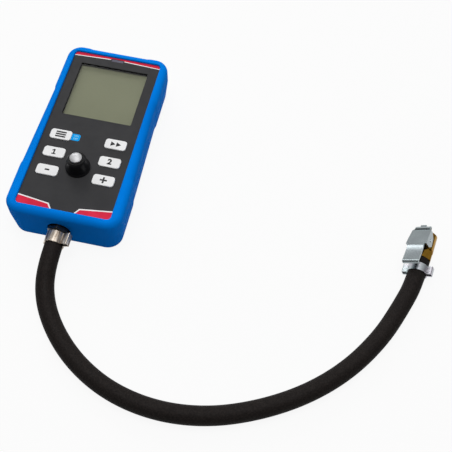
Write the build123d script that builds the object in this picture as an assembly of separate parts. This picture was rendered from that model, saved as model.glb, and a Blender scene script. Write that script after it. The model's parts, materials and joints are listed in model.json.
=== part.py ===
"""A hand-held digital tyre pressure gauge with a rubber boot, an air hose and a clip-on chuck.

Millimetres. The gauge lies on its back: Z is up, Y runs from the hose end to the display end,
and X is to the right. The origin is the middle of the gauge's underside.
"""

import os
from math import cos, pi, radians, sin, tan

from build123d import *

# Boot: a moulded rubber sleeve, thicker at its corners, drafted below its middle.
BOOT_HALF_W = 41.9
BOOT_HALF_L = 79.0
BOOT_H = 32.0
BOOT_BUMPER = 0.6
BOOT_TAPER = 1.7
BOOT_CORNER_R = 11.0
BOOT_EDGE_R = 4.6
BOOT_FOOT_R = 1.4
BOOT_LIP = 3.5
BOOT_FLOOR = 2.0
SIDE_RECESS_Y = (-39.5, 36.0)
END_RECESS_X = 22.0
RECESS_RAMP = 3.0
RECESS_BLEND_R = 6.0
DRAFT_TOP_Z = 18.0
SIDE_DRAFT = 2.2
END_DRAFT = 2.0
GROOVE_Z = 18.0
GROOVE_H = 1.0
GROOVE_DEPTH = 0.6
GROOVE_Y = (-66.0, 64.0)

# Case: a front and a rear shell that meet at the height of the hose fitting.
CASE_HALF_W = 37.8
CASE_HALF_L = 75.4
CASE_CORNER_R = 8.0
CASE_WALL = 2.2
CASE_TOP_Z = BOOT_H - BOOT_LIP
PARTING_Z = 13.9
FACE_T = 2.0
BACK_PANEL = (57.6, 131.6)
BACK_PANEL_Z = 0.6
BACK_PANEL_R = 6.0
CASE_SCREW_XY = (28.5, 68.0)

# Face: a printed film on the raised middle of the front shell.
PLATE_W = 69.2
PLATE_L = 145.0
PLATE_Y = 0.0
PLATE_R = 3.0
PLATE_GAP = 0.1
FILM_T = 0.5
FILM_TOP_Z = 30.5
FACE_Z = FILM_TOP_Z - FILM_T
FACE_UNDER_Z = FACE_Z - FACE_T

# Display.
WINDOW_W = 53.8
WINDOW_L = 51.9
WINDOW_Y = 36.4
WINDOW_LEDGE = 1.8
WINDOW_T = 1.0
GLASS_T = 2.6
GLASS_TOP_Z = 26.9

# Indicator at the display end.
INDICATOR = (9.4, 2.3)
INDICATOR_Y = 70.0

# Keys, in two columns of three.
KEY_W = 16.2
KEY_L = 8.7
KEY_R = 2.2
KEY_X = 21.0
KEY_Y = (-9.3, -25.5, -41.7)
KEY_TOP_Z = 31.4
KEY_GAP = 0.2
KEY_FLANGE = 1.0
KEY_FLANGE_T = 0.8
KEY_STEM_R = 1.5
KEY_STEM_Z = 24.6
KEY_NAMES = (
    ("key_menu", -1, 0),
    ("key_mode", 1, 0),
    ("key_memory_left", -1, 1),
    ("key_memory_right", 1, 1),
    ("key_minus", -1, 2),
    ("key_plus", 1, 2),
)

# Circuit board, carried on posts that hang from the front shell.
BOARD_Z = 21.0
BOARD_T = 1.6
BOARD_TOP_Z = BOARD_Z + BOARD_T
BOARD_HALF = (35.4, 71.4)
BOARD_NOTCH = (11.4, 8.0)
POST_XY = ((32.9, 59.5), (32.9, -58.0))
POST_R = 2.2
SWITCH = 6.0
SWITCH_H = 3.6

# Battery bay, open at the back under a screwed cover.
BATTERY = (26.5, 48.5, 17.5)
BATTERY_Y = 28.25
BATTERY_Z = 3.0
BAY_HALF_W = 13.9
BAY_Y = (2.6, 57.8)
BAY_WALL = 1.2
COVER = (31.0, 63.0, 2.0)
COVER_Y = 27.3
COVER_GAP = 0.2
COVER_SCREW_Y = -0.6

# Bleed valve, whose black collar stands on the face.
BLEED_Y = -34.7
COLLAR_BASE_R = 9.0
COLLAR_TOP_Z = 42.0
NECK_R = 5.8
NECK_TOP_Z = 35.4
BUTTON_R = 4.4
BUTTON_TOP_Z = 44.6
BUTTON_UNDER_Z = 39.6
BUTTON_DOME_R = 8.1
STEM_R = 1.4
STEM_GRIP = 2.4
SEAT_Z = 18.0
VALVE_HEAD_R = 3.1

# Air inlet at the hose end.
INLET_X = -2.8
INLET_Z = PARTING_Z
THREAD_R = 5.0
NUT_FLATS = 14.4
NUT_END_Y = -82.6
AIRWAY_R = 1.6

# Valve block under the board.
BLOCK_X = (-13.0, 9.0)
BLOCK_Y = (-68.0, -22.0)
BLOCK_Z = (6.8, 20.4)

# Hose: a thick rubber tube with its route along the floor.
HOSE_R = 6.5
HOSE_BORE_R = 3.0
BARB_R = 3.1
HOSE_ROUTE = (
    (INLET_X, NUT_END_Y, INLET_Z),
    (INLET_X, -104.5, INLET_Z),
    (0.4, -126.8, 7.8),
    (14.6, -149.6, HOSE_R),
    (37.0, -170.0, HOSE_R),
    (65.0, -184.0, HOSE_R),
    (97.0, -189.6, HOSE_R),
    (129.5, -186.4, HOSE_R),
    (161.0, -175.0, HOSE_R),
    (190.5, -157.6, HOSE_R),
    (215.2, -134.8, HOSE_R),
    (234.0, -107.5, HOSE_R),
    (245.2, -82.0, 6.9),
    (252.4, -62.3, 7.5),
    (255.7, -42.8, 7.5),
)
ARC_SHARE = 0.45

# Chuck, drawn along local X from the hose's end, with its lever on top, and then laid down.
CHUCK_AT = HOSE_ROUTE[-1]
CHUCK_ROLL = -36.0
CHUCK_FRONT = 22.5
CHUCK_R = 7.0
CHUCK_HEX_FLATS = 13.2
CHUCK_HEX_L = 7.0
VALVE_BORE_R = 4.15
VALVE_BORE_L = 9.0
SEAL_T = 2.0
SEAL_R = 4.5
SEAL_GAP = 0.2
PIVOT = (12.0, 7.4)
PIVOT_R = 1.25
PIVOT_CLEARANCE = 0.05
LUG_R = 2.6
LUG_HALF_W = 2.3
LEVER_T = 1.2
THUMB_HALF_W = 6.2
HOOD_HALF_W = (7.9, 7.3, 5.6)
HOOD_X = (6.0, 19.5, 22.9)
BAND_T = 0.8

BOTTOM = (Align.CENTER, Align.CENTER, Align.MIN)
TOP = (Align.CENTER, Align.CENTER, Align.MAX)


def block(size, x, y, z):
    """A box standing on height z, centred on x and y."""
    return Pos(x, y, z) * Box(*size, align=BOTTOM)


def disc(radius, x, y, z_low, z_high):
    """An upright cylinder between two heights."""
    return Pos(x, y, z_low) * Cylinder(radius, z_high - z_low, align=BOTTOM)


def rod_y(radius, x, z, y_low, y_high):
    """A cylinder along Y between two places."""
    lying = Rot(-90, 0, 0) * Cylinder(radius, y_high - y_low, align=BOTTOM)
    return Pos(x, y_low, z) * lying


def rounded_slab(width, length, radius, x, y, z_low, z_high):
    """A plate with rounded corners between two heights."""
    outline = Pos(x, y, z_low) * RectangleRounded(width, length, radius)
    return extrude(outline, z_high - z_low)


def boot_outline(side_draft, end_draft, inset, z):
    """The boot's outline at one height, narrower at the display end and recessed between its corners."""
    side = BOOT_HALF_W - side_draft - inset
    bumper = side + BOOT_BUMPER
    far_side = side - BOOT_TAPER
    far_bumper = far_side + BOOT_BUMPER
    front = -BOOT_HALF_L + inset
    back = BOOT_HALF_L - end_draft - inset
    low, high = SIDE_RECESS_Y
    right = [
        (bumper, low),
        (side, low + RECESS_RAMP),
        (far_side, high - RECESS_RAMP),
        (far_bumper, high),
        (far_bumper, back),
        (END_RECESS_X + RECESS_RAMP, back),
        (END_RECESS_X, back - BOOT_BUMPER),
    ]
    left = [(-x, y) for x, y in reversed(right)]
    points = [(-bumper, front), (bumper, front), *right, *left]
    corner = BOOT_CORNER_R - inset
    blend = RECESS_BLEND_R
    right_radii = [blend, blend, blend, blend, corner, blend, blend]
    radii = [corner, corner, *right_radii, *reversed(right_radii)]
    edge = FilletPolyline(*points, radius=radii, close=True)
    return Pos(0, 0, z) * make_face(edge)


def case_outline(inset, z):
    """The case's outline at one height, drafted like the boot around it."""
    fall = max(0.0, DRAFT_TOP_Z - z) / DRAFT_TOP_Z
    half_w = CASE_HALF_W - SIDE_DRAFT * fall - inset
    front = -CASE_HALF_L + inset
    back = CASE_HALF_L - END_DRAFT * fall - inset
    shape = RectangleRounded(2 * half_w, back - front, CASE_CORNER_R - inset)
    return Pos(0, (front + back) / 2, z) * shape


def case_solid(inset, z_low, z_high):
    """The case as a solid between two heights, one below and one above the end of its draft."""
    lower = loft([case_outline(inset, z_low), case_outline(inset, DRAFT_TOP_Z)], ruled=True)
    upper = extrude(case_outline(inset, DRAFT_TOP_Z), z_high - DRAFT_TOP_Z)
    return lower + upper


def key_places():
    """Each key's name and centre."""
    return [(name, side * KEY_X, KEY_Y[row]) for name, side, row in KEY_NAMES]


def both_sides(points):
    """The points and their mirror images across the middle."""
    return [(side * x, y) for x, y in points for side in (-1, 1)]


def corners(x, y):
    """Four places, mirrored across both axes."""
    return both_sides([(x, y), (x, -y)])


def rubber_boot():
    """A rubber sleeve with a rounded rim, a fine groove along each side and a window in its back."""
    foot = boot_outline(SIDE_DRAFT, END_DRAFT, 0, 0)
    waist = boot_outline(0, 0, 0, DRAFT_TOP_Z)
    body = loft([foot, waist], ruled=True) + extrude(waist, BOOT_H - DRAFT_TOP_Z)
    rim = body.faces().sort_by(Axis.Z)[-1]
    body = fillet(rim.edges(), BOOT_EDGE_R)
    sole = body.faces().sort_by(Axis.Z)[0]
    body = fillet(sole.edges(), BOOT_FOOT_R)
    groove = extrude(boot_outline(0, 0, -1, GROOVE_Z), GROOVE_H)
    groove -= extrude(boot_outline(0, 0, GROOVE_DEPTH, GROOVE_Z), GROOVE_H)
    groove_l, groove_y = GROOVE_Y[1] - GROOVE_Y[0], sum(GROOVE_Y) / 2
    body -= groove & block((4 * BOOT_HALF_W, groove_l, GROOVE_H), 0, groove_y, GROOVE_Z)
    body -= case_solid(0, BOOT_FLOOR, CASE_TOP_Z)
    gap = 2 * PLATE_GAP
    opening = (PLATE_W + gap, PLATE_L + gap, PLATE_R)
    body -= rounded_slab(*opening, 0, PLATE_Y, CASE_TOP_Z - 1, BOOT_H + 1)
    lip = [e for e in body.edges().filter_by_position(Axis.Z, BOOT_H, BOOT_H)]
    inner = [e for e in lip if abs(e.center().X) < PLATE_W / 2 + 1 and abs(e.center().Y) < PLATE_L / 2 + 2]
    body = fillet(inner, 1.0)
    body -= rounded_slab(*BACK_PANEL, BACK_PANEL_R, 0, 0, -1, BOOT_FLOOR + 1)
    body -= rod_y(NUT_FLATS * 0.6, INLET_X, INLET_Z, -BOOT_HALF_L - 2, -CASE_HALF_L + 1)
    return body


def front_shell():
    """The upper half of the case, with the face, its openings, screw bosses and board posts."""
    below = block((200, 200, PARTING_Z + 10), 0, 0, -10)
    body = case_solid(0, PARTING_Z - 1, CASE_TOP_Z) - below
    body += rounded_slab(PLATE_W, PLATE_L, PLATE_R, 0, PLATE_Y, CASE_TOP_Z, FACE_Z)
    body -= case_solid(CASE_WALL, PARTING_Z - 1, CASE_TOP_Z - CASE_WALL) - below
    hollow = (PLATE_W - 3.2, PLATE_L - 1.6, PLATE_R)
    body -= rounded_slab(*hollow, 0, PLATE_Y, CASE_TOP_Z - CASE_WALL - 1, FACE_UNDER_Z)
    inside = case_solid(CASE_WALL / 2, PARTING_Z - 1, FACE_UNDER_Z) - below
    for x, y in corners(*CASE_SCREW_XY):
        body += disc(3.4, x, y, PARTING_Z, FACE_UNDER_Z) & inside
    for x, y in both_sides(POST_XY):
        body += disc(POST_R, x, y, BOARD_TOP_Z, FACE_UNDER_Z)
    for x, y in corners(*CASE_SCREW_XY):
        body -= disc(1.4, x, y, PARTING_Z, 24)
    for x, y in both_sides(POST_XY):
        body -= disc(1.0, x, y, BOARD_TOP_Z, 26.5)
    gap = 0.2
    pocket_w = WINDOW_W + 2 * (WINDOW_LEDGE + gap)
    pocket_l = WINDOW_L + 2 * (WINDOW_LEDGE + gap)
    pocket_z = FACE_Z - WINDOW_T - gap
    body -= rounded_slab(pocket_w, pocket_l, 1.4, 0, WINDOW_Y, pocket_z, FACE_Z + 1)
    body -= rounded_slab(WINDOW_W, WINDOW_L, 0.8, 0, WINDOW_Y, FACE_UNDER_Z - 1, FACE_Z)
    for _, x, y in key_places():
        width, length = KEY_W + 2 * KEY_GAP, KEY_L + 2 * KEY_GAP
        body -= rounded_slab(width, length, KEY_R + KEY_GAP, x, y, FACE_UNDER_Z - 1, FACE_Z + 1)
    body -= disc(NECK_R + 0.4, 0, BLEED_Y, FACE_UNDER_Z - 1, FACE_Z + 1)
    body -= block((INDICATOR[0] + 0.2, INDICATOR[1] + 0.2, 4), 0, INDICATOR_Y, FACE_UNDER_Z - 1)
    body -= rod_y(THREAD_R + 0.2, INLET_X, INLET_Z, -CASE_HALF_L - 1, -CASE_HALF_L + 4)
    return body


def rear_shell():
    """The lower half of the case, with the battery bay, screw bosses and block saddles."""
    above = block((200, 200, 40), 0, 0, PARTING_Z)
    body = case_solid(0, BOOT_FLOOR, CASE_TOP_Z) - above
    body -= case_solid(CASE_WALL, BOOT_FLOOR + FACE_T, CASE_TOP_Z) - above
    gap = 0.15
    panel = (BACK_PANEL[0] - 2 * gap, BACK_PANEL[1] - 2 * gap, BACK_PANEL_R - gap)
    body += rounded_slab(*panel, 0, 0, BACK_PANEL_Z, BOOT_FLOOR)
    envelope = case_solid(CASE_WALL / 2, BOOT_FLOOR, CASE_TOP_Z)
    for x, y in corners(*CASE_SCREW_XY):
        body += disc(3.6, x, y, BOOT_FLOOR + 1, PARTING_Z) & envelope
    floor_z = BOOT_FLOOR + FACE_T
    bay_l = BAY_Y[1] - BAY_Y[0]
    bay_y = (BAY_Y[0] + BAY_Y[1]) / 2
    bay_w = 2 * BAY_HALF_W
    walls = block((bay_w + 2 * BAY_WALL, bay_l + 2 * BAY_WALL, PARTING_Z - floor_z), 0, bay_y, floor_z)
    body += walls
    body += disc(3.0, 0, COVER_SCREW_Y, floor_z, 9)
    body -= block((bay_w, bay_l, 40), 0, bay_y, 0)
    for y in (-58, -27):
        body += block((18, 3, BLOCK_Z[0] - floor_z), -2, y, floor_z)
    recess = (COVER[0] + 2 * COVER_GAP, COVER[1] + 2 * COVER_GAP, 2.2)
    body -= rounded_slab(*recess, 0, COVER_Y, 0, BACK_PANEL_Z + COVER[2])
    body -= disc(1.1, 0, COVER_SCREW_Y, 0, 8)
    for x, y in corners(*CASE_SCREW_XY):
        body -= disc(1.6, x, y, 0, PARTING_Z + 1)
        body -= disc(2.8, x, y, 0, floor_z + 0.2)
    body -= rod_y(THREAD_R + 0.2, INLET_X, INLET_Z, -CASE_HALF_L - 1, -CASE_HALF_L + 4)
    return body


def face_overlay():
    """The film on the face, cut out for the window, the keys, the valve and the indicator."""
    film = rounded_slab(PLATE_W, PLATE_L, PLATE_R, 0, PLATE_Y, FACE_Z, FILM_TOP_Z)
    film -= rounded_slab(WINDOW_W, WINDOW_L, 0.8, 0, WINDOW_Y, FACE_Z - 1, FILM_TOP_Z + 1)
    for _, x, y in key_places():
        width, length = KEY_W + 2 * KEY_GAP, KEY_L + 2 * KEY_GAP
        film -= rounded_slab(width, length, KEY_R + KEY_GAP, x, y, FACE_Z - 1, FILM_TOP_Z + 1)
    film -= disc(NECK_R + 0.4, 0, BLEED_Y, FACE_Z - 1, FILM_TOP_Z + 1)
    film -= block((INDICATOR[0] + 0.2, INDICATOR[1] + 0.2, 4), 0, INDICATOR_Y, FACE_Z - 1)
    return film


def display_window():
    """A clear lens let into the face, under the edge of the film."""
    width = WINDOW_W + 2 * WINDOW_LEDGE
    length = WINDOW_L + 2 * WINDOW_LEDGE
    low = FACE_Z - WINDOW_T - 0.2
    return rounded_slab(width, length, 1.2, 0, WINDOW_Y, low, low + WINDOW_T)


def display_glass():
    """The liquid crystal cell."""
    low = GLASS_TOP_Z - GLASS_T
    glass = block((WINDOW_W + 4, WINDOW_L + 2, GLASS_T), 0, WINDOW_Y, low)
    return chamfer(glass.edges().group_by(Axis.Z)[-1], 0.3)


def display_frame():
    """The moulded frame that holds the cell on the board."""
    frame_w = WINDOW_W + 7
    frame_l = WINDOW_L + 4.2
    tall = GLASS_TOP_Z - BOARD_TOP_Z
    frame = block((frame_w, frame_l, tall), 0, WINDOW_Y, BOARD_TOP_Z)
    frame = fillet(frame.edges().filter_by(Axis.Z), 1.0)
    frame -= block((WINDOW_W + 4.2, WINDOW_L + 2.2, tall), 0, WINDOW_Y, GLASS_TOP_Z - GLASS_T)
    frame -= block((WINDOW_W - 2, WINDOW_L - 2, tall), 0, WINDOW_Y, BOARD_TOP_Z - 1)
    return frame


def indicator_window():
    """A smoked window with a flange behind the face."""
    lens = block((*INDICATOR, FILM_TOP_Z - 0.2 - FACE_UNDER_Z), 0, INDICATOR_Y, FACE_UNDER_Z)
    return lens + block((INDICATOR[0] + 2, INDICATOR[1] + 0.8, 0.8), 0, INDICATOR_Y, FACE_UNDER_Z - 0.8)


def indicator_lamp():
    """A small lamp on the board behind the indicator window."""
    lamp = block((3.2, 2.0, 1.2), 0, INDICATOR_Y, BOARD_TOP_Z)
    return lamp + disc(0.8, 0, INDICATOR_Y, BOARD_TOP_Z + 1.2, BOARD_TOP_Z + 1.9)


def key_cap(x, y):
    """A key with a rounded top, a flange behind the face and a stem to its switch."""
    flange_z = FACE_UNDER_Z - 0.05 - KEY_FLANGE_T
    cap = rounded_slab(KEY_W, KEY_L, KEY_R, x, y, flange_z, KEY_TOP_Z)
    cap = fillet(cap.edges().group_by(Axis.Z)[-1], 0.5)
    width, length = KEY_W + 2 * KEY_FLANGE, KEY_L + 2 * KEY_FLANGE
    cap += rounded_slab(width, length, KEY_R, x, y, flange_z, flange_z + KEY_FLANGE_T)
    return cap + disc(KEY_STEM_R, x, y, KEY_STEM_Z, flange_z)


def key_switches():
    """Six push switches on the board, each open at the top for its key's stem."""
    switches = []
    for _, x, y in key_places():
        body = block((SWITCH, SWITCH, SWITCH_H), x, y, BOARD_TOP_Z)
        body = chamfer(body.edges().filter_by(Axis.Z), 0.6)
        body -= disc(KEY_STEM_R + 0.3, x, y, BOARD_TOP_Z + 1.4, BOARD_TOP_Z + 5)
        switches.append(body)
    return Compound(children=switches)


def circuit_board():
    """The board, notched round the case screws and holed for the bleed valve."""
    width, length = 2 * BOARD_HALF[0], 2 * BOARD_HALF[1]
    board = block((width, length, BOARD_T), 0, 0, BOARD_Z)
    for x, y in corners(*BOARD_HALF):
        board -= block((2 * BOARD_NOTCH[0], 2 * BOARD_NOTCH[1], 4), x, y, BOARD_Z - 1)
    board -= disc(NECK_R + 0.6, 0, BLEED_Y, BOARD_Z - 1, BOARD_TOP_Z + 1)
    for x, y in both_sides(POST_XY):
        board -= disc(1.2, x, y, BOARD_Z - 1, BOARD_TOP_Z + 1)
    return board


def processor_chip():
    """The processor in its square plastic package."""
    chip = block((12, 12, 1.6), 0, -12, BOARD_TOP_Z)
    return chamfer(chip.edges().group_by(Axis.Z)[-1], 0.25)


def pan_screw(head_r, head_t, shank_r, length):
    """A screw along Z with its head at the bottom and its tip at the top."""
    head = Cylinder(head_r, head_t, align=BOTTOM)
    head = fillet(head.edges().sort_by(Axis.Z)[0], head_t * 0.35)
    slot = Box(head_r * 1.3, 0.5, head_t * 0.4, align=BOTTOM)
    cross = slot + Rot(0, 0, 90) * slot
    return head - cross + Pos(0, 0, head_t) * Cylinder(shank_r, length, align=BOTTOM)


def case_screws():
    """Four screws that hold the shells together from behind."""
    screw = pan_screw(2.6, 1.8, 1.4, 18.4)
    places = [Pos(x, y, BOOT_FLOOR + 0.4) for x, y in corners(*CASE_SCREW_XY)]
    return Compound(children=[place * screw for place in places])


def board_screws():
    """Four screws that hold the board to the front shell's posts."""
    screw = pan_screw(2.0, 1.5, 1.0, 5.0)
    places = [Pos(x, y, BOARD_Z - 1.5) for x, y in both_sides(POST_XY)]
    return Compound(children=[place * screw for place in places])


def cover_screw():
    """The screw of the battery cover."""
    return Pos(0, COVER_SCREW_Y, BACK_PANEL_Z) * pan_screw(2.2, 1.4, 1.1, 5)


def battery():
    """A nine volt block battery, with its two terminals towards the display end."""
    width, length, tall = BATTERY
    body = block((width, length, tall), 0, BATTERY_Y, BATTERY_Z)
    body = fillet(body.edges().filter_by(Axis.Y), 2.0)
    end_y = BATTERY_Y + length / 2
    for x in (-6.35, 6.35):
        body += rod_y(2.8, x, BATTERY_Z + tall / 2, end_y, end_y + 2.6)
    return body


def battery_snap():
    """The clip on the battery's terminals."""
    end_y = BATTERY_Y + BATTERY[1] / 2
    mid_z = BATTERY_Z + BATTERY[2] / 2
    clip = Pos(0, end_y + 2.5, mid_z) * Box(24, 4, 14)
    clip = fillet(clip.edges().filter_by(Axis.Y), 1.5)
    for x in (-6.35, 6.35):
        clip -= rod_y(3.0, x, mid_z, end_y, end_y + 2.8)
    return clip


def battery_leads():
    """Two insulated wires from the clip up to the board."""
    start_y = BATTERY_Y + BATTERY[1] / 2 + 4.5
    wires = []
    for x in (-3, 3):
        points = [(x, start_y, 16.8), (x, start_y + 4, 16.8), (x, start_y + 4, BOARD_Z)]
        path = FilletPolyline(*points, radius=1.8)
        section = Plane(origin=points[0], z_dir=(0, 1, 0)) * Circle(0.7)
        wires.append(sweep(section, path=path))
    return Compound(children=wires)


def battery_cover():
    """The cover of the battery bay, with two ribs that carry the battery."""
    z = BACK_PANEL_Z
    cover = rounded_slab(COVER[0], COVER[1], 2.0, 0, COVER_Y, z, z + COVER[2])
    for x in (-8, 8):
        cover += block((2, 40, BATTERY_Z - z - COVER[2]), x, BATTERY_Y, z + COVER[2])
    for step in range(5):
        y = COVER_Y + 22 - 2.4 * step
        cover -= block((18, 1.0, 0.6), 0, y, z)
    cover -= disc(1.3, 0, COVER_SCREW_Y, 0, 5)
    return cover - disc(2.4, 0, COVER_SCREW_Y, 0, z + 1.4)


def valve_block():
    """A drilled metal block that joins the inlet, the sensor and the bleed valve."""
    width, length, tall = (high - low for low, high in (BLOCK_X, BLOCK_Y, BLOCK_Z))
    x, y = sum(BLOCK_X) / 2, sum(BLOCK_Y) / 2
    body = block((width, length, tall), x, y, BLOCK_Z[0])
    body = chamfer(body.edges(), 0.6)
    body += disc(NECK_R, 0, BLEED_Y, BLOCK_Z[1] - 1, NECK_TOP_Z)
    body -= rod_y(THREAD_R, INLET_X, INLET_Z, BLOCK_Y[0] - 1, BLOCK_Y[0] + 8)
    body -= rod_y(2.5, INLET_X, INLET_Z, BLOCK_Y[0], BLOCK_Y[1])
    body -= rod_y(3.9, INLET_X, INLET_Z, BLOCK_Y[1] - 6, BLOCK_Y[1] + 1)
    body -= disc(4.2, 0, BLEED_Y, BLOCK_Z[0] - 1, SEAT_Z)
    return body - disc(STEM_R + 0.3, 0, BLEED_Y, SEAT_Z - 1, NECK_TOP_Z + 1)


def valve_plug():
    """The plug that closes the valve chamber from below."""
    plug = disc(4.2, 0, BLEED_Y, BLOCK_Z[0], BLOCK_Z[0] + 3.6)
    return plug - block((6, 1.0, 1.0), 0, BLEED_Y, BLOCK_Z[0])


def pressure_sensor():
    """A round metal sensor screwed into the block, with three legs up to the board."""
    y = BLOCK_Y[1]
    can = rod_y(6.2, INLET_X, INLET_Z, y, y + 8)
    can = chamfer(can.edges().sort_by(Axis.Y)[-1], 0.8)
    can += rod_y(3.9, INLET_X, INLET_Z, y - 6, y)
    for x in (-2.5, 0, 2.5):
        can += block((0.6, 3.0, 0.6), INLET_X + x, y + 9, INLET_Z - 0.3)
        can += block((0.6, 0.6, BOARD_Z - INLET_Z + 0.3), INLET_X + x, y + 10.2, INLET_Z - 0.3)
    return can


def bleed_collar():
    """The black collar round the bleed button, wide at its foot and bevelled at its top."""
    foot_z = FILM_TOP_Z
    profile = [
        (NECK_R, foot_z),
        (COLLAR_BASE_R, foot_z),
        (COLLAR_BASE_R, foot_z + 1.6),
        (COLLAR_BASE_R - 0.5, foot_z + 2.2),
        (6.9, COLLAR_TOP_Z - 1.4),
        (5.9, COLLAR_TOP_Z),
        (BUTTON_R + 0.2, COLLAR_TOP_Z),
        (BUTTON_R + 0.2, NECK_TOP_Z),
        (NECK_R, NECK_TOP_Z),
    ]
    face = make_face(Plane.XZ * Polyline(*profile, close=True))
    return Pos(0, BLEED_Y, 0) * revolve(face, Axis.Z)


def bleed_button():
    """A domed push button with a threaded hole for its stem."""
    button = disc(BUTTON_R, 0, BLEED_Y, BUTTON_UNDER_Z, BUTTON_TOP_Z)
    button &= Pos(0, BLEED_Y, BUTTON_TOP_Z - BUTTON_DOME_R) * Sphere(BUTTON_DOME_R)
    rim = button.edges().filter_by(lambda edge: edge.is_closed).sort_by(Axis.Z)[-1]
    button = fillet(rim, 0.4)
    return button - disc(STEM_R, 0, BLEED_Y, BUTTON_UNDER_Z, BUTTON_UNDER_Z + STEM_GRIP)


def bleed_stem():
    """The turned stem of the bleed valve, with a head below its seat."""
    stem = disc(STEM_R, 0, BLEED_Y, SEAT_Z - 3, BUTTON_UNDER_Z + STEM_GRIP)
    return stem + disc(VALVE_HEAD_R, 0, BLEED_Y, SEAT_Z - 3, SEAT_Z - 1.5)


def bleed_seal():
    """The rubber seal between the stem's head and its seat."""
    ring = disc(VALVE_HEAD_R - 0.2, 0, BLEED_Y, SEAT_Z - 1.5, SEAT_Z)
    return ring - disc(STEM_R, 0, BLEED_Y, SEAT_Z - 2, SEAT_Z + 1)


def coil_spring(radius, wire_r, height, turns):
    """A compression spring that stands on the origin."""
    rise = height - 2 * wire_r
    helix = Pos(0, 0, wire_r) * Helix(pitch=rise / turns, height=rise, radius=radius)
    section = Plane(origin=helix @ 0, z_dir=helix % 0) * RegularPolygon(wire_r, 6)
    return sweep(section, path=helix, is_frenet=True)


def bleed_spring():
    """The spring under the bleed button."""
    return Pos(0, BLEED_Y, NECK_TOP_Z) * coil_spring(2.6, 0.25, BUTTON_UNDER_Z - NECK_TOP_Z, 3.5)


def barb(y_start, y_end, x, z):
    """A stem with three sharp rings along Y, from its root at y_start to its tip at y_end."""
    step = (y_end - y_start) / 4
    profile = [(0, y_start), (BARB_R - 0.3, y_start), (BARB_R - 0.3, y_start + step)]
    for ring in (1, 2, 3):
        at = y_start + ring * step
        profile += [(BARB_R, at), (BARB_R - 0.4, at + step)]
    profile += [(0, y_end)]
    face = make_face(Polyline(*profile, close=True))
    return Pos(x, 0, z) * revolve(face, Axis.Y)


def inlet_fitting():
    """The threaded and barbed fitting that carries the hose."""
    body = rod_y(THREAD_R, INLET_X, INLET_Z, NUT_END_Y, BLOCK_Y[0] + 8)
    body += barb(NUT_END_Y, NUT_END_Y - 13, INLET_X, INLET_Z)
    return body - rod_y(AIRWAY_R, INLET_X, INLET_Z, NUT_END_Y - 14, BLOCK_Y[0] + 9)


def inlet_nut():
    """The black hexagon nut that clamps the fitting to the case, bevelled at its outer end."""
    length = -CASE_HALF_L - NUT_END_Y
    prism = extrude(RegularPolygon(NUT_FLATS / 2, 6, major_radius=False, rotation=30), length)
    ball = Cylinder(NUT_FLATS * 0.565, length, align=BOTTOM)
    ball = chamfer(ball.edges().sort_by(Axis.Z)[-1], 1.2)
    nut = prism & ball
    nut -= Cylinder(THREAD_R, length, align=BOTTOM)
    return Pos(INLET_X, -CASE_HALF_L, INLET_Z) * (Rot(90, 0, 0) * nut)


def hose_path():
    """The hose's centre line: straight runs joined by arcs as large as the runs allow."""
    points = [Vector(*point) for point in HOSE_ROUTE]
    runs = [b - a for a, b in zip(points, points[1:])]
    radii = []
    for before, after in zip(runs, runs[1:]):
        half_turn = radians(before.get_angle(after)) / 2
        radii.append(ARC_SHARE * min(before.length, after.length) / tan(half_turn))
    return FilletPolyline(*points, radius=[0, *radii, 0][1:-1]), radii


def air_hose():
    """The thick rubber hose between the gauge and the chuck."""
    path, radii = hose_path()
    section = Plane(origin=path @ 0, z_dir=path % 0) * (Circle(HOSE_R) - Circle(HOSE_BORE_R))
    hose = sweep(section, path=path)
    expected = pi * (HOSE_R**2 - HOSE_BORE_R**2) * path.length
    print("hose length", round(path.length, 1), "radii", [round(r) for r in radii])
    print("hose volume", round(hose.volume), "expected", round(expected))
    return hose


def ear_clamp(length, ear_angles, ear_reach):
    """A crimped band along X from the origin, with an open ear at each angle from +Y."""
    outer = HOSE_R + BAND_T
    ring = Circle(outer)
    gaps = []
    for angle in ear_angles:
        turn = Rot(0, 0, angle)
        ring += turn * (Pos((outer + ear_reach) / 2 - 0.5, 0) * RectangleRounded(ear_reach - outer + 1, 4.6, 0.9))
        gaps.append(turn * (Pos((HOSE_R + ear_reach - BAND_T) / 2, 0) * Rectangle(ear_reach - BAND_T - HOSE_R + 1, 2.4)))
    ring -= Circle(HOSE_R)
    for gap in gaps:
        ring -= gap
    return extrude(Plane.YZ * ring, length)


def inlet_clamp():
    """The one-ear clamp at the gauge's end of the hose, with its ear to the right and down."""
    band = ear_clamp(8.8, (24,), 12.2)
    return Pos(INLET_X, NUT_END_Y - 0.5, INLET_Z) * (Rot(0, 0, -90) * band)


def chuck_place():
    """Where the chuck lies: its local X along the hose's last run, which is level."""
    run = Vector(*HOSE_ROUTE[-1]) - Vector(*HOSE_ROUTE[-2])
    return Plane(origin=CHUCK_AT, x_dir=run, z_dir=(0, 0, 1)).location


def chuck_clamp():
    """The two-ear clamp at the chuck's end of the hose."""
    band = ear_clamp(6.2, (-28, 152), 10.9)
    return chuck_place() * (Pos(-11.8, 0, 0) * band)


def lying(shape):
    """A chuck piece drawn along local X, rolled and laid in its place."""
    return chuck_place() * (Rot(CHUCK_ROLL, 0, 0) * shape)


def rod_x(radius, x_low, x_high):
    """A cylinder along local X on the chuck's axis."""
    return Pos(x_low, 0, 0) * (Rot(0, 90, 0) * Cylinder(radius, x_high - x_low, align=BOTTOM))


def pivot_rod(radius, half_length):
    """A cylinder along the lever's pivot."""
    return Pos(PIVOT[0], 0, PIVOT[1]) * (Rot(90, 0, 0) * Cylinder(radius, 2 * half_length))


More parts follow.
